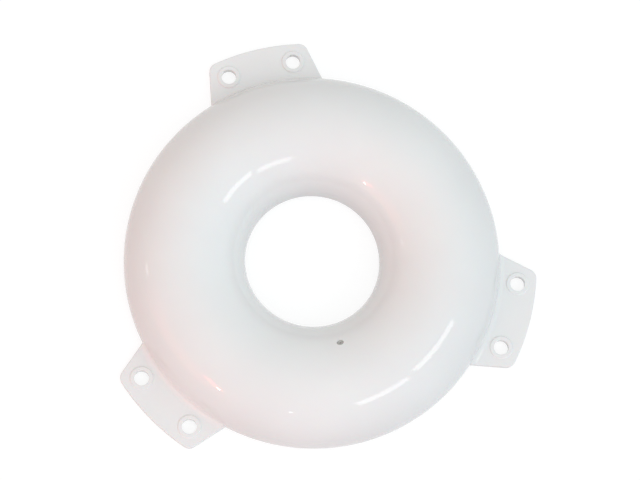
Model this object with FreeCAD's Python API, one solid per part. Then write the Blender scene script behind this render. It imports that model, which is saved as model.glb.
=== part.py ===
import FreeCAD, Part
import os
from math import asin, cos, degrees, radians, sin, sqrt, tan

# Ring fender: an air-filled half-round ring of soft PVC with three lugs, screwed flat to a wall, a post
# or a pontoon. Millimetres. The origin is on the ring's axis at its flat back, +Z points to the front,
# and one lug points to +Y. The sealed ring can't be seen into, so it is one solid.

# Ring: its outline seen from the front, and the bevel where its sides meet the flat back
RING_DIAMETER = 280.0
CENTRE_HOLE_DIAMETER = 100.0
HEEL_BEVEL = 2.0

# Lugs: flat tongues flush with the back, narrowing outward to an edge concentric with the ring
LUG_COUNT = 3
LUG_THICKNESS = 5.0
LUG_REACH = 168.0
LUG_TIP_WIDTH = 74.6
LUG_SIDE_ANGLE = 11.3
LUG_CORNER_RADIUS = 7.0
LUG_ROOT_FILLET = 5.0
LUG_EDGE_BEVEL = 0.8

# Screw holes: a pair on each lug, each hole inside a low rim with sloping sides
SCREW_HOLE_DIAMETER = 11.0
SCREW_HOLE_PITCH = 50.0
SCREW_LINE_REACH = 152.0
RIM_DIAMETER = 17.5
RIM_HEIGHT = 0.9
RIM_SIDE_RUN = 0.7

# Air valve: a rubber plug in a pocket on the slope that faces the centre hole, opposite the +Y lug
VALVE_AROUND_RING = -90.0
VALVE_DOWN_FROM_CREST = 34.3
VALVE_DIAMETER = 4.4
VALVE_LENGTH = 11.0
VALVE_FACE_SUNK = 0.2
VALVE_CLEARANCE = 0.05
NEEDLE_HOLE_DIAMETER = 1.0
NEEDLE_HOLE_END_WALL = 1.5

# Sizes that follow from the ones above
section_radius = (RING_DIAMETER - CENTRE_HOLE_DIAMETER) / 4
ring_radius = (RING_DIAMETER + CENTRE_HOLE_DIAMETER) / 4
section_centre_z = HEEL_BEVEL

ORIGIN = FreeCAD.Vector(0, 0, 0)
UP = FreeCAD.Vector(0, 0, 1)
SAME_HEIGHT = 1e-6


def at(radius, z):
    """A point of the ring's section: distance from the ring's axis, and height above the back."""
    return FreeCAD.Vector(radius, 0, z)


def arc(centre_radius, centre_z, radius, start, end):
    """An arc of the section about a centre, from one angle to another in degrees."""
    def on_arc(angle):
        return at(centre_radius + radius * cos(radians(angle)), centre_z + radius * sin(radians(angle)))
    return Part.Arc(on_arc(start), on_arc((start + end) / 2), on_arc(end)).toShape()


def turned(edges):
    """The solid that a closed section makes when it turns once about the ring's axis."""
    return Part.Face(Part.Wire(edges)).revolve(ORIGIN, UP, 360)


def ring():
    """The tube: a half-round on a flat back, with bevelled heels."""
    outside = ring_radius + section_radius
    inside = ring_radius - section_radius
    return turned([
        Part.makeLine(at(inside + HEEL_BEVEL, 0), at(outside - HEEL_BEVEL, 0)),
        Part.makeLine(at(outside - HEEL_BEVEL, 0), at(outside, section_centre_z)),
        arc(ring_radius, section_centre_z, section_radius, 0, 180),
        Part.makeLine(at(inside, section_centre_z), at(inside + HEEL_BEVEL, 0)),
    ])


def lug_flange():
    """A flange right round the ring, flush with its back, with a fillet from its front to the tube."""
    fillet_z = LUG_THICKNESS + LUG_ROOT_FILLET
    rise = fillet_z - section_centre_z
    reach = section_radius + LUG_ROOT_FILLET
    run = sqrt(reach ** 2 - rise ** 2)
    fillet_at = ring_radius + run
    slope = degrees(asin(rise / reach))
    touch = at(ring_radius + run * section_radius / reach, section_centre_z + rise * section_radius / reach)
    return turned([
        Part.makeLine(at(ring_radius, 0), at(LUG_REACH, 0)),
        Part.makeLine(at(LUG_REACH, 0), at(LUG_REACH, LUG_THICKNESS)),
        Part.makeLine(at(LUG_REACH, LUG_THICKNESS), at(fillet_at, LUG_THICKNESS)),
        arc(fillet_at, fillet_z, LUG_ROOT_FILLET, 270, 180 + slope),
        Part.makeLine(touch, at(ring_radius, touch.z)),
        Part.makeLine(at(ring_radius, touch.z), at(ring_radius, 0)),
    ])


def lug_block():
    """An upright block with one lug's outline from above, from inside the tube to the lug's tip."""
    half_tip = LUG_TIP_WIDTH / 2
    tip_y = sqrt(LUG_REACH ** 2 - half_tip ** 2)
    half_root = half_tip + (tip_y - ring_radius) * tan(radians(LUG_SIDE_ANGLE))
    left_tip = FreeCAD.Vector(-half_tip, tip_y, 0)
    right_tip = FreeCAD.Vector(half_tip, tip_y, 0)
    left_root = FreeCAD.Vector(-half_root, ring_radius, 0)
    right_root = FreeCAD.Vector(half_root, ring_radius, 0)
    outline = Part.Wire([
        Part.makeLine(left_root, right_root),
        Part.makeLine(right_root, right_tip),
        Part.Arc(right_tip, FreeCAD.Vector(0, LUG_REACH, 0), left_tip).toShape(),
        Part.makeLine(left_tip, left_root),
    ])
    height = LUG_THICKNESS + 2 * LUG_ROOT_FILLET
    block = Part.Face(outline).extrude(FreeCAD.Vector(0, 0, height))
    beyond_tube = ring_radius + section_radius
    tip_corners = [
        edge for edge in block.Edges
        if edge.BoundBox.ZLength > height / 2 and edge.BoundBox.YMin > beyond_tube
    ]
    return block.makeFillet(LUG_CORNER_RADIUS, tip_corners)


def with_screw_hole(tongue, place):
    """The tongue with a rim raised on its front, and a hole through both."""
    rim_radius = RIM_DIAMETER / 2
    rim_foot = place + UP * LUG_THICKNESS
    rim = Part.makeCone(rim_radius, rim_radius - RIM_SIDE_RUN, RIM_HEIGHT, rim_foot)
    hole = Part.makeCylinder(SCREW_HOLE_DIAMETER / 2, LUG_THICKNESS + RIM_HEIGHT, place)
    return tongue.fuse(rim).cut(hole)


def lies_level(edge, z):
    """Whether an edge lies flat at a height."""
    return abs(edge.BoundBox.ZMin - z) < SAME_HEIGHT and abs(edge.BoundBox.ZMax - z) < SAME_HEIGHT


def lug():
    """The lug that points to +Y: its root runs into the tube, and its front edge is bevelled."""
    tongue = lug_flange().common(lug_block())
    front_edges = [edge for edge in tongue.Edges if lies_level(edge, LUG_THICKNESS)]
    tip_edges = [edge for edge in front_edges if edge.BoundBox.YMax > LUG_REACH - LUG_CORNER_RADIUS]
    tongue = tongue.makeChamfer(LUG_EDGE_BEVEL, tip_edges)
    for side in (-1, 1):
        place = FreeCAD.Vector(side * SCREW_HOLE_PITCH / 2, SCREW_LINE_REACH, 0)
        tongue = with_screw_hole(tongue, place)
    return tongue


def around_ring(shape, count):
    """Copies of a shape, evenly spaced about the ring's axis."""
    copies = []
    for index in range(count):
        copy = shape.copy()
        copy.rotate(ORIGIN, UP, 360 * index / count)
        copies.append(copy)
    return copies


def on_valve_axis(radius, top, bottom):
    """A cylinder on the valve's axis, between two depths below the tube's surface."""
    slope = radians(VALVE_DOWN_FROM_CREST)
    outward = FreeCAD.Vector(-sin(slope), 0, cos(slope))
    face_middle = at(ring_radius, section_centre_z) + outward * section_radius
    in_section = FreeCAD.Placement(face_middle, FreeCAD.Rotation(UP, outward))
    around = FreeCAD.Placement(ORIGIN, FreeCAD.Rotation(UP, VALVE_AROUND_RING))
    cylinder = Part.makeCylinder(radius, bottom - top, FreeCAD.Vector(0, 0, -bottom))
    cylinder.Placement = around * in_section
    return cylinder


def ring_body():
    """The moulding: tube and lugs in one piece, with the pocket for the valve."""
    body = ring().fuse(around_ring(lug(), LUG_COUNT))
    pocket_radius = VALVE_DIAMETER / 2 + VALVE_CLEARANCE
    pocket = on_valve_axis(pocket_radius, -pocket_radius, VALVE_FACE_SUNK + VALVE_LENGTH)
    return body.cut(pocket).removeSplitter()


def air_valve():
    """The plug: it sits on the pocket's floor, and a blind hole takes the pump's needle."""
    end = VALVE_FACE_SUNK + VALVE_LENGTH
    plug = on_valve_axis(VALVE_DIAMETER / 2, VALVE_FACE_SUNK, end)
    needle_hole = on_valve_axis(NEEDLE_HOLE_DIAMETER / 2, 0, end - NEEDLE_HOLE_END_WALL)
    return plug.cut(needle_hole)


def write(name, shape):
    """One sound solid to its own file."""
    if len(shape.Solids) != 1 or not shape.isValid():
        raise ValueError(name + " isn't one sound solid")
    shape.Solids[0].exportStep(os.path.join("parts", name + ".step"))
    print(name, round(shape.Volume / 1000, 2), "cm3")


os.makedirs("parts", exist_ok=True)
write("ring_body", ring_body())
write("air_valve", air_valve())
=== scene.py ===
from math import asin, cos, pi, radians, sin, sqrt

import bmesh
import bpy
from mathutils import Matrix, Vector


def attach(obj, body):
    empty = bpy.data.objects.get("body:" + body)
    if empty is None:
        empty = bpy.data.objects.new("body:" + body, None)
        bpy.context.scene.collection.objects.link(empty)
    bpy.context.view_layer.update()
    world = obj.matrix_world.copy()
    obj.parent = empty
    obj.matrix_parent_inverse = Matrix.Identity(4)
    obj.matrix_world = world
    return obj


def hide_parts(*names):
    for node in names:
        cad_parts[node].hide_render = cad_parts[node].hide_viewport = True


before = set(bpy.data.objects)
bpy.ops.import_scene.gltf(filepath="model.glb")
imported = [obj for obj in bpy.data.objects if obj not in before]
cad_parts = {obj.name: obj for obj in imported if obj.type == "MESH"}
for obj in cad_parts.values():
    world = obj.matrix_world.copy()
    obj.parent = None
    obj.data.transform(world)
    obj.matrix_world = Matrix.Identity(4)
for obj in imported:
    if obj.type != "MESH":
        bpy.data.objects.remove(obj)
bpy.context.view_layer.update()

# The ring: a tube of soft white PVC, blown full of air and closed for good. It is a half-round on a flat
# back, which lies against the wall or the post, and the mould rounds its two heels.
ring_middle = 0.095
tube_radius = 0.045
tube_steps = 96
heel_radius = 0.002
heel_steps = 5
ring_steps = 240
weld = 1e-6
centre = (0, 0, 0)
upright = (0, 0, 1)
sideways = (0, 1, 0)


def dot(name, place):
    """Starts a piece as one point, from which its section is drawn."""
    bpy.ops.object.select_all(action="DESELECT")
    bpy.ops.mesh.primitive_plane_add(location=place)
    piece = bpy.context.object
    piece.name = name
    bpy.ops.object.transform_apply(location=True, rotation=False, scale=False)
    bpy.ops.object.mode_set(mode="EDIT")
    bpy.context.tool_settings.mesh_select_mode = (True, False, False)
    bpy.ops.mesh.select_all(action="SELECT")
    bpy.ops.mesh.merge(type="CENTER")
    return piece


def pull(x, y, z):
    """Extrudes what is selected along a straight line."""
    bpy.ops.mesh.extrude_region_move(TRANSFORM_OT_translate={"value": (x, y, z)})


def turn(steps, angle, middle, axis):
    """Spins what is selected about a point, by the right-hand rule."""
    bpy.ops.mesh.spin(steps=steps, angle=-angle, center=middle, axis=axis)


def turn_all(steps, angle):
    """Spins the whole piece about the upright line through the middle."""
    bpy.ops.mesh.select_all(action="SELECT")
    turn(steps, angle, centre, upright)


def pick(piece, kind, wanted):
    """Selects only the verts, edges or faces of a piece that answer to a test."""
    bpy.context.tool_settings.mesh_select_mode = [kind == each for each in ("verts", "edges", "faces")]
    bpy.ops.mesh.select_all(action="DESELECT")
    mesh = bmesh.from_edit_mesh(piece.data)
    for each in getattr(mesh, kind):
        each.select_set(wanted(each))
    mesh.select_flush_mode()
    bmesh.update_edit_mesh(piece.data)


def close_section(piece):
    """Joins the two loose ends of a drawn section."""
    pick(piece, "verts", lambda v: len(v.link_edges) == 1)
    bpy.ops.mesh.edge_face_add()


def finish_mesh():
    """Welds double points, turns every face outward and leaves edit mode."""
    bpy.ops.mesh.select_all(action="SELECT")
    bpy.ops.mesh.remove_doubles(threshold=weld)
    bpy.ops.mesh.normals_make_consistent(inside=False)
    bpy.ops.object.mode_set(mode="OBJECT")


outer_heel = ring_middle + tube_radius - heel_radius
inner_heel = ring_middle - tube_radius + heel_radius

ring = dot("ring_moulding", (outer_heel, 0, 0))
turn(heel_steps, -pi / 2, (outer_heel, 0, heel_radius), sideways)
turn(tube_steps, -pi, (ring_middle, 0, heel_radius), sideways)
turn(heel_steps, -pi / 2, (inner_heel, 0, heel_radius), sideways)
close_section(ring)
turn_all(ring_steps, 2 * pi)
finish_mesh()

# The three lugs: flat tongues of the same moulding, flush with the back, that take the screws. Each one
# runs up into the tube through a soft root fillet and narrows outward. Its corners are rounded, and so is
# its front edge, from the tip right up to the tube.
lug_count = 3
lug_thickness = 0.005
lug_reach = 0.168
lug_half_tip = 0.0373
lug_side_slope = radians(11.3)
lug_corner_radius = 0.007
lug_corner_steps = 16
lug_tip_steps = 32
lug_root_fillet = 0.005
lug_fillet_steps = 18
lug_root_lip = 0.00005
lug_inner_end = 0.125
lug_margin = 0.002
lug_edge_round = 0.0008
lug_edge_steps = 4
sharp = radians(50)
nearly_flat = radians(0.05)

# A lug is cut from a wider sector. None of the sector's steps ends close beside the lug's own sides,
# because the rounding of their edges needs the room.
lug_sector = radians(45)
lug_sector_steps = 22


def choose(piece):
    """Selects one piece alone and makes it the active one."""
    bpy.ops.object.select_all(action="DESELECT")
    piece.select_set(True)
    bpy.context.view_layer.objects.active = piece


def edit(piece):
    """Goes into edit mode on one piece."""
    choose(piece)
    bpy.ops.object.mode_set(mode="EDIT")


def cut_with(piece, tool, operation):
    """Fuses a tool to a piece, cuts it away, or keeps what both hold, and removes the tool."""
    boolean = piece.modifiers.new(operation, "BOOLEAN")
    boolean.object = tool
    boolean.operation = operation
    boolean.solver = "EXACT"
    choose(piece)
    bpy.ops.object.modifier_apply(modifier=boolean.name)
    bpy.data.objects.remove(tool)


fillet_rise = lug_thickness + lug_root_fillet - heel_radius
fillet_reach = tube_radius + lug_root_fillet
fillet_slope = asin(fillet_rise / fillet_reach)
fillet_x = ring_middle + sqrt(fillet_reach ** 2 - fillet_rise ** 2) + lug_root_lip
fillet_turn = pi / 2 - fillet_slope
fillet_top = lug_thickness + lug_root_fillet * (1 - sin(fillet_slope))
beyond_tip = lug_reach + lug_margin

lug = dot("lug", (fillet_x, 0, lug_thickness))
turn(lug_fillet_steps, fillet_turn, (fillet_x, 0, lug_thickness + lug_root_fillet), sideways)
pull(lug_inner_end - fillet_x + lug_root_fillet * cos(fillet_slope), 0, 0)
pull(0, 0, -fillet_top)
pull(beyond_tip - lug_inner_end, 0, 0)
pull(0, 0, lug_thickness)
close_section(lug)
bpy.ops.object.mode_set(mode="OBJECT")
lug.rotation_euler.z = (pi - lug_sector) / 2
bpy.ops.object.transform_apply(location=False, rotation=True, scale=False)
edit(lug)
turn_all(lug_sector_steps, lug_sector)
bpy.ops.mesh.select_all(action="SELECT")
bpy.ops.mesh.fill_holes(sides=0)
finish_mesh()

tip_side_y = sqrt(lug_reach ** 2 - lug_half_tip ** 2)
side_distance = lug_half_tip * cos(lug_side_slope) + tip_side_y * sin(lug_side_slope)
corner_reach = lug_reach - lug_corner_radius
corner_at = asin((side_distance - lug_corner_radius) / corner_reach) - lug_side_slope
corner_x = corner_reach * sin(corner_at)
corner_y = corner_reach * cos(corner_at)
corner_turn = pi / 2 - lug_side_slope - corner_at
side_x = corner_x + lug_corner_radius * cos(lug_side_slope)
side_y = corner_y + lug_corner_radius * sin(lug_side_slope)
side_length_y = side_y - lug_inner_end + lug_root_fillet * 2
side_length_x = side_length_y * sin(lug_side_slope) / cos(lug_side_slope)
outline_height = 2 * lug_thickness + lug_root_fillet

outline = dot("lug_outline", (side_x + side_length_x, side_y - side_length_y, -lug_margin))
pull(-side_length_x, side_length_y, 0)
turn(lug_corner_steps, corner_turn, (corner_x, corner_y, 0), upright)
turn(lug_tip_steps, 2 * corner_at, centre, upright)
turn(lug_corner_steps, corner_turn, (-corner_x, corner_y, 0), upright)
pull(-side_length_x, -side_length_y, 0)
close_section(outline)
bpy.ops.mesh.select_all(action="SELECT")
bpy.ops.mesh.edge_face_add()
pull(0, 0, outline_height)
finish_mesh()
cut_with(lug, outline, "INTERSECT")


def on_front_edge(edge):
    """Whether an edge bounds the lug's front, on the flat or on the fillet below its top."""
    lowest = min(v.co.z for v in edge.verts)
    in_front = lug_thickness - weld < lowest < fillet_top - weld
    return in_front and edge.is_convex and edge.calc_face_angle(0) > sharp


edit(lug)
bpy.ops.mesh.select_all(action="SELECT")
bpy.ops.mesh.dissolve_limited(angle_limit=nearly_flat)
pick(lug, "edges", on_front_edge)
bpy.ops.mesh.bevel(offset=lug_edge_round, segments=lug_edge_steps, affect="EDGES", clamp_overlap=False)
finish_mesh()

# The screw holes: a pair in each lug, for 10 mm screws. The moulding is thicker round each hole: a low
# rim with a sloping side spreads the load of the screw's washer.
hole_radius = 0.0055
hole_x = 0.025
hole_y = 0.152
hole_steps = 96
hole_mouth_round = 0.0003
hole_mouth_slack = 5 * weld
rim_radius = 0.00875
rim_height = 0.0009
rim_side_run = 0.0007
rim_skirt = 0.001
rim_skirt_sunk = 0.00002
rim_foot = lug_thickness - rim_skirt_sunk
rim_round = 0.00025
rim_sharp = radians(30)
small_round_steps = 3
nearly_up = 0.9


def bar(radius, bottom, top, x):
    """Adds an upright round bar on the middle line of the hole at x."""
    bpy.ops.object.select_all(action="DESELECT")
    bpy.ops.mesh.primitive_cylinder_add(
        vertices=hole_steps, radius=radius, depth=top - bottom, location=(x, hole_y, (top + bottom) / 2))
    bpy.ops.object.transform_apply(location=True, rotation=True, scale=True)
    return bpy.context.object


def from_hole(v, x):
    """How far a point stands from the middle line of the hole at x."""
    return sqrt((v.co.x - x) ** 2 + (v.co.y - hole_y) ** 2)


def on_rim(edge, x):
    """Whether an edge is one of the rim's own, and not its skirt's."""
    above_lug = min(v.co.z for v in edge.verts) > rim_foot - weld
    inside_skirt = max(from_hole(v, x) for v in edge.verts) < rim_radius + rim_skirt / 2
    return above_lug and inside_skirt and edge.calc_face_angle(0) > rim_sharp


def on_mouth(edge, x):
    """Whether an edge runs round a mouth of the hole."""
    off_wall = max(abs(from_hole(v, x) - hole_radius) for v in edge.verts)
    return off_wall < hole_mouth_slack and edge.calc_face_angle(0) > sharp


for x in (-hole_x, hole_x):
    rim = bar(rim_radius + rim_skirt, lug_margin, rim_foot, x)
    edit(rim)
    pick(rim, "faces", lambda f: f.normal.z > nearly_up)
    bpy.ops.mesh.inset(thickness=rim_skirt, depth=0)
    bpy.ops.mesh.inset(thickness=rim_side_run, depth=rim_height + rim_skirt_sunk)
    pick(rim, "edges", lambda e: on_rim(e, x))
    bpy.ops.mesh.bevel(offset=rim_round, segments=small_round_steps, affect="EDGES", clamp_overlap=False)
    finish_mesh()
    cut_with(lug, rim, "UNION")
    cut_with(lug, bar(hole_radius, -2 * lug_thickness, 2 * lug_thickness, x), "DIFFERENCE")
    edit(lug)
    pick(lug, "edges", lambda e: on_mouth(e, x))
    bpy.ops.mesh.bevel(
        offset=hole_mouth_round, segments=small_round_steps, affect="EDGES", clamp_overlap=False)
    finish_mesh()

# One lug is now whole, and the ring carries three like it, evenly spaced.
for index in range(lug_count):
    copy = lug.copy()
    copy.data = lug.data.copy()
    bpy.context.collection.objects.link(copy)
    choose(copy)
    copy.rotation_euler.z = 2 * pi * index / lug_count
    bpy.ops.object.transform_apply(location=False, rotation=True, scale=False)
    cut_with(ring, copy, "UNION")
bpy.data.objects.remove(lug)

# The valve's seat: a plain round pocket, moulded into the slope that faces the centre hole, across the
# ring from one lug. Its mouth is eased so that the rubber goes in without a nick.
valve_slope = radians(34.3)
seat_radius = 0.00225
seat_depth = 0.0112
seat_mouth_ease = 0.0003
above_surface = 0.002


def lean_to_valve(piece):
    """Lays a piece made upright at the origin along the valve's own axis."""
    middle_y = -ring_middle + tube_radius * sin(valve_slope)
    middle_z = heel_radius + tube_radius * cos(valve_slope)
    choose(piece)
    piece.rotation_euler = (-valve_slope, 0, 0)
    piece.location = (0, middle_y, middle_z)
    bpy.ops.object.transform_apply(location=True, rotation=True, scale=True)


seat = dot("valve_seat", (0, 0, -seat_depth))
pull(seat_radius, 0, 0)
pull(0, 0, seat_depth - 2 * seat_mouth_ease)
pull(seat_mouth_ease, 0, 2 * seat_mouth_ease)
pull(0, 0, above_surface)
pull(-seat_radius - seat_mouth_ease, 0, 0)
turn_all(hole_steps, 2 * pi)
finish_mesh()
lean_to_valve(seat)
cut_with(ring, seat, "DIFFERENCE")

# The moulding's finish: soft PVC as it leaves a polished mould, glossy white and a little cloudy. It isn't
# quite even, it shines less in patches where hands have held it, and a few specks of dust cling to it.
pvc_white = (0.86, 0.855, 0.85, 1)
pvc_cloudy = (0.83, 0.82, 0.815, 1)
dust_grey = (0.6, 0.58, 0.55, 1)
large_faces_lead = 100

# A grain is given by its clumps to the metre and the finer layers on them. A band is the lowest and the
# highest value of the grain that still count, and a cover or a roughness is what comes of those two.
none_to_all = (0, 1)
cloud_grain = (14, 4)
cloud_band = (0.35, 0.7)
speck_grain = (900, 2)
speck_band = (0.7, 0.76)
speck_cover = (0, 0.12)
gloss_grain = (45, 5)
gloss_band = (0.3, 0.7)
gloss_roughness = (0.035, 0.06)
handled_grain = (22, 6)
handled_band = (0.55, 0.75)
handled_roughness = (0, 0.07)
wave_grain = (16, 1)
wave_height = 0.0004
skin_grain = (420, 2)
skin_height = 0.00001


def smooth(piece):
    """Smooths a finished moulding, and keeps its flat faces flat up to their rounded edges."""
    choose(piece)
    bpy.ops.object.shade_smooth_by_angle(angle=sharp)
    weighted = piece.modifiers.new("weighted", "WEIGHTED_NORMAL")
    weighted.weight = large_faces_lead
    weighted.keep_sharp = True
    bpy.ops.object.modifier_apply(modifier=weighted.name)


def finish_of(name, **sockets):
    """Starts a material, and sets what is the same all over it on its shader."""
    material = bpy.data.materials.new(name)
    material.use_nodes = True
    shader = material.node_tree.nodes["Principled BSDF"]
    for socket, value in sockets.items():
        shader.inputs[socket.replace("_", " ")].default_value = value
    return material, material.node_tree, shader


def noise(tree, grain):
    """A noise of this grain in the piece's own place."""
    scale, detail = grain
    where = tree.nodes.new("ShaderNodeTexCoord")
    clumps = tree.nodes.new("ShaderNodeTexNoise")
    clumps.inputs["Scale"].default_value = scale
    clumps.inputs["Detail"].default_value = detail
    tree.links.new(where.outputs["Object"], clumps.inputs["Vector"])
    return clumps.outputs["Fac"]


def spread(tree, value, band, result):
    """Takes a value from its band to another one."""
    between = tree.nodes.new("ShaderNodeMapRange")
    for socket, number in zip(("From Min", "From Max", "To Min", "To Max"), band + result):
        between.inputs[socket].default_value = number
    tree.links.new(value, between.inputs["Value"])
    return between.outputs["Result"]


def blend(tree, amount, first, second):
    """Goes from one colour to another by an amount. The first may be a blend itself."""
    mix = tree.nodes.new("ShaderNodeMix")
    mix.data_type = "RGBA"
    if isinstance(first, tuple):
        mix.inputs["A"].default_value = first
    else:
        tree.links.new(first, mix.inputs["A"])
    mix.inputs["B"].default_value = second
    tree.links.new(amount, mix.inputs["Factor"])
    return mix.outputs["Result"]


def raised(tree, value, height, under=None):
    """A bump of a real height in metres, over another one."""
    bump = tree.nodes.new("ShaderNodeBump")
    bump.inputs["Distance"].default_value = height
    tree.links.new(value, bump.inputs["Height"])
    if under:
        tree.links.new(under, bump.inputs["Normal"])
    return bump.outputs["Normal"]


edit(ring)
pick(ring, "faces", lambda f: all(abs(v.co.z) < weld for v in f.verts))
bpy.ops.mesh.region_to_loop()
bpy.ops.mesh.mark_sharp()
finish_mesh()
smooth(ring)

pvc, tree, shader = finish_of(
    "glossy white PVC", IOR=1.53, Subsurface_Weight=0.06, Subsurface_Scale=0.004)
clouds = spread(tree, noise(tree, cloud_grain), cloud_band, none_to_all)
specks = spread(tree, noise(tree, speck_grain), speck_band, speck_cover)
colour = blend(tree, specks, blend(tree, clouds, pvc_white, pvc_cloudy), dust_grey)
gloss = spread(tree, noise(tree, gloss_grain), gloss_band, gloss_roughness)
handled = spread(tree, noise(tree, handled_grain), handled_band, handled_roughness)
dulled = tree.nodes.new("ShaderNodeMath")
tree.links.new(gloss, dulled.inputs[0])
tree.links.new(handled, dulled.inputs[1])
waves = raised(tree, noise(tree, wave_grain), wave_height)
surface = raised(tree, noise(tree, skin_grain), skin_height, waves)
tree.links.new(colour, shader.inputs["Base Color"])
tree.links.new(dulled.outputs[0], shader.inputs["Roughness"])
tree.links.new(surface, shader.inputs["Normal"])
ring.data.materials.clear()
ring.data.materials.append(pvc)
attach(ring, "root")
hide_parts("ring_body")

# The air valve: a small plug of matt grey rubber, pushed into its seat from outside. A funnel in its face
# leads the pump's needle into the hole down its middle, which closes by itself.
plug_radius = 0.0022
plug_face_sunk = 0.00025
plug_rim_round = 0.0004
plug_rim_steps = 6
plug_foot = 0.01115
plug_foot_ease = 0.0003
plug_steps = 64
face_dish = 0.00012
funnel_radius = 0.00085
funnel_depth = 0.0005
needle_radius = 0.0005
needle_end = 0.0097
rubber_grey = (0.46, 0.45, 0.43, 1)
rubber_dusty = (0.52, 0.51, 0.49, 1)
dust_grain = (900, 3)
dust_band = (0.4, 0.65)
matt_grain = (1500, 2)
matt_band = (0.3, 0.7)
matt_roughness = (0.55, 0.7)
pore_grain = (4000, 2)
pore_height = 0.00002

valve = dot("rubber_valve", (0, 0, -plug_foot))
pull(plug_radius - plug_foot_ease, 0, 0)
pull(plug_foot_ease, 0, plug_foot_ease)
pull(0, 0, plug_foot - plug_foot_ease - plug_face_sunk - plug_rim_round)
turn(plug_rim_steps, -pi / 2, (plug_radius - plug_rim_round, 0, -plug_face_sunk - plug_rim_round), sideways)
pull(funnel_radius - plug_radius + plug_rim_round, 0, -face_dish)
pull(needle_radius - funnel_radius, 0, -funnel_depth)
pull(0, 0, plug_face_sunk + face_dish + funnel_depth - needle_end)
pull(-needle_radius, 0, -needle_radius)
turn_all(plug_steps, 2 * pi)
finish_mesh()
lean_to_valve(valve)
smooth(valve)

rubber, tree, shader = finish_of("grey valve rubber", IOR=1.5)
dust = spread(tree, noise(tree, dust_grain), dust_band, none_to_all)
matt = spread(tree, noise(tree, matt_grain), matt_band, matt_roughness)
pores = raised(tree, noise(tree, pore_grain), pore_height)
tree.links.new(blend(tree, dust, rubber_grey, rubber_dusty), shader.inputs["Base Color"])
tree.links.new(matt, shader.inputs["Roughness"])
tree.links.new(pores, shader.inputs["Normal"])
valve.data.materials.clear()
valve.data.materials.append(rubber)
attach(valve, "root")
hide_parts("air_valve")

# The table that the fender lies on: matt white, and wide enough that no view sees its end. The camera and
# the gloss see it brighter than the light it gives back, and it keeps the fender's shadow.
table_side = 40
table_squares = 8
table_lit = (0.36, 0.36, 0.36, 1)
table_seen = (0.25, 0.25, 0.25, 1)
table_glow = (0, 0.8)
plain_white = (1, 1, 1, 1)


def seen_or_mirrored(tree):
    """1 where the camera, a mirror or a pane looks, and 0 for the light that falls on things."""
    path = tree.nodes.new("ShaderNodeLightPath")
    total = path.outputs["Is Camera Ray"]
    for other in ("Is Glossy Ray", "Is Transmission Ray"):
        either = tree.nodes.new("ShaderNodeMath")
        either.operation = "MAXIMUM"
        tree.links.new(total, either.inputs[0])
        tree.links.new(path.outputs[other], either.inputs[1])
        total = either.outputs[0]
    return total


bpy.ops.object.select_all(action="DESELECT")
bpy.ops.mesh.primitive_grid_add(x_subdivisions=table_squares, y_subdivisions=table_squares, size=table_side)
table = bpy.context.object
table.name = "table"

matt_white, tree, shader = finish_of("matt white table", Roughness=0.9, Specular_IOR_Level=0)
seen = seen_or_mirrored(tree)
shader.inputs["Emission Color"].default_value = plain_white
tree.links.new(blend(tree, seen, table_lit, table_seen), shader.inputs["Base Color"])
tree.links.new(spread(tree, seen, none_to_all, table_glow), shader.inputs["Emission Strength"])
table.data.materials.append(matt_white)

# The room: white to the eye. Its light is brightest overhead and in front of the fender, and warmer to
# the fender's left. For red, green and blue, room_level is how bright that light is on average, and
# room_lean how much brighter it is towards +X, +Y and +Z.
room_level = (0.767, 0.733, 0.74)
room_lean = ((-0.033, -0.146, 0.13), (0.075, -0.186, 0.218), (0.112, -0.228, 0.222))

room = bpy.data.worlds.new("white room")
bpy.context.scene.world = room
room.use_nodes = True
tree = room.node_tree
tree.nodes.clear()
facing = tree.nodes.new("ShaderNodeTexCoord")
light = tree.nodes.new("ShaderNodeCombineColor")
for channel, average, lean in zip(("Red", "Green", "Blue"), room_level, room_lean):
    along = tree.nodes.new("ShaderNodeVectorMath")
    along.operation = "DOT_PRODUCT"
    along.inputs[1].default_value = lean
    tree.links.new(facing.outputs["Generated"], along.inputs[0])
    total = tree.nodes.new("ShaderNodeMath")
    total.inputs[1].default_value = average
    tree.links.new(along.outputs["Value"], total.inputs[0])
    tree.links.new(total.outputs[0], light.inputs[channel])
walls = blend(tree, seen_or_mirrored(tree), light.outputs["Color"], plain_white)
background = tree.nodes.new("ShaderNodeBackground")
output = tree.nodes.new("ShaderNodeOutputWorld")
tree.links.new(walls, background.inputs["Color"])
tree.links.new(background.outputs["Background"], output.inputs["Surface"])

# The lamps: two long tubes end to end, which draw the bright strips on the ring, a red wall of three
# panels that is strongest in its middle, a red lamp with a warm one in it, and two small lamps.
lamp_distance = 3
tube_height = 3
tube_width = 0.65
tube_brightness = 3
lamp_white = (1, 1, 1)
lamp_warm = (1, 0.87, 0.84)
lamp_red = (1, 0.12, 0.07)
wall_red = (1, 0.14, 0.03)
wall_brightness = 0.32
wall_middle = -163
wall_up = 15

# Each panel of the red wall: the degrees that it reaches to either side, and its height.
wall_panels = ((17, 0.7), (23, 1.05), (29, 1.4))


def towards(round_z, up):
    """A lamp's place in a direction from the fender: degrees round from +X, and degrees up."""
    flat = lamp_distance * cos(radians(up))
    return flat * cos(radians(round_z)), flat * sin(radians(round_z)), lamp_distance * sin(radians(up))


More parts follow.
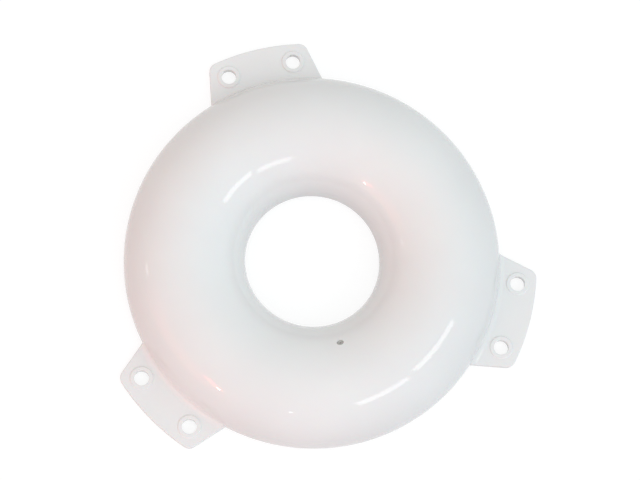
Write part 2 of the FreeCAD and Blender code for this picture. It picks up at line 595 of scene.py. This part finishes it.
def lamp(name, start, end, width, brightness, colour=lamp_white):
    """A flat lamp between two places, turned to the fender. Brightness 1 is as bright as a white wall."""
    start, end = Vector(start), Vector(end)
    middle = (start + end) / 2
    back = middle.normalized()
    along = (end - start).normalized()
    across = back.cross(along).normalized()
    turned = Matrix((across.cross(back), across, back)).transposed().to_4x4()
    data = bpy.data.lights.new(name, "AREA")
    data.shape = "RECTANGLE"
    data.size = (end - start).length
    data.size_y = width
    data.energy = brightness * pi * data.size * data.size_y
    data.color = colour
    holder = bpy.data.objects.new(name, data)
    holder.matrix_world = Matrix.Translation(middle) @ turned
    holder.visible_camera = False
    bpy.context.collection.objects.link(holder)


lamp("tube_right", (2.98, -1.465, tube_height), (1.95, -2.43, tube_height), tube_width, tube_brightness)
lamp("tube_front", (1.98, -2.91, tube_height), (0.55, -3.68, tube_height), tube_width, tube_brightness)
for reach, height in wall_panels:
    panel_start = towards(wall_middle - reach, wall_up)
    panel_end = towards(wall_middle + reach, wall_up)
    lamp("red_wall", panel_start, panel_end, height, wall_brightness, wall_red)
lamp("red_lamp", towards(-150, 23.3), towards(-142, 18), width=0.32, brightness=3.6, colour=lamp_red)
lamp("warm_lamp", towards(-143.9, 19.2), towards(-142.4, 18.2), width=0.1, brightness=34, colour=lamp_warm)
lamp("small_lamp", towards(-111.5, 29.6), towards(-109.5, 29.6), width=0.1, brightness=8)
lamp("left_lamp", towards(158.3, 13.1), towards(162.3, 12.9), width=0.22, brightness=2.6)

# The camera stands above the fender, a little to its lower left, and looks down on its front. Its turn is
# in degrees about X, Y and Z, and its angle of view is the one that the photograph was taken with.
camera_place = (-0.2123, -0.3404, 1.8187)
camera_turn = (12.39, -3.888, -14.894)
focal_pixels = 2500
picture_width = 640

lens = bpy.data.cameras.new("camera")
lens.lens = lens.sensor_width * focal_pixels / picture_width
camera = bpy.data.objects.new("camera", lens)
camera.location = camera_place
camera.rotation_euler = [radians(angle) for angle in camera_turn]
bpy.context.collection.objects.link(camera)
bpy.context.scene.camera = camera
bpy.context.scene.view_settings.view_transform = "Standard"
